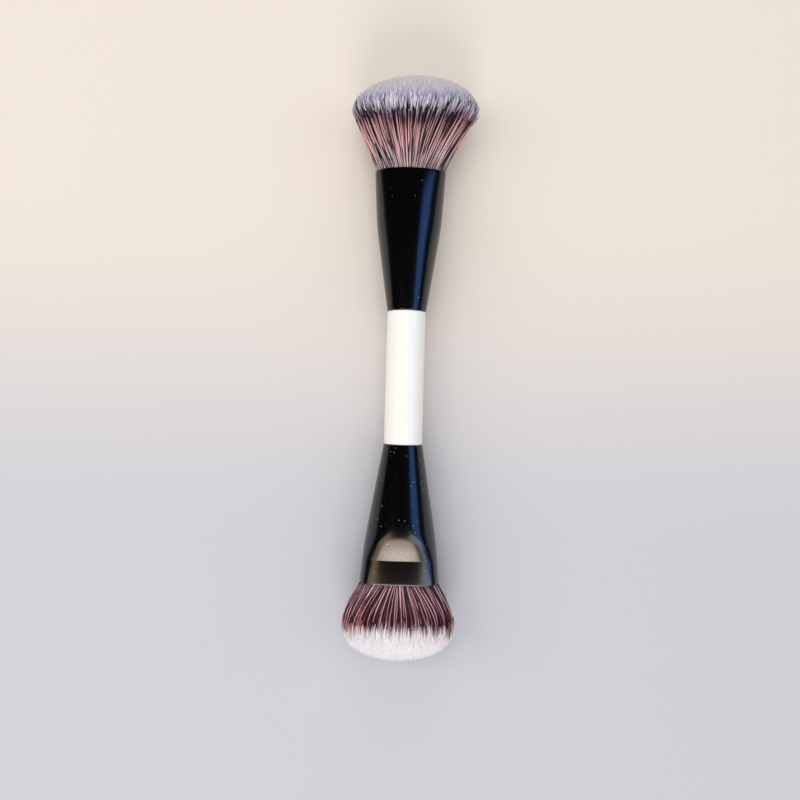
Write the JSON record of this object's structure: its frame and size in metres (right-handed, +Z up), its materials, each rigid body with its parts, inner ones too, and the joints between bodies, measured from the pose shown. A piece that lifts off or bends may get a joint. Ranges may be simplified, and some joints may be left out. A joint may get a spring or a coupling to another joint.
{
  "type": "double ended makeup brush",
  "caption": "Double ended makeup brush: a short plain handle between black ferrules, with a full domed powder tuft at one end and a denser foundation tuft at the other.",
  "frame": {"origin": "on the table, under the middle of the lying brush", "axes": "+Y along the brush towards the powder end, +Z up, X across the brush's broad side"},
  "size_m": [0.0346, 0.1582, 0.0195],
  "materials": {
    "handle_white": "satin",
    "ferrule_black": "gloss",
    "powder_hair": "satin",
    "foundation_hair": "satin",
    "glue": "satin"
  },
  "bodies": {
    "root": {"handle": "handle_white", "powder_ferrule": "ferrule_black", "powder_bristles": "powder_hair", "powder_glue": "glue", "foundation_ferrule": "ferrule_black", "foundation_bristles": "foundation_hair", "foundation_glue": "glue"}
  },
  "joints": []
}
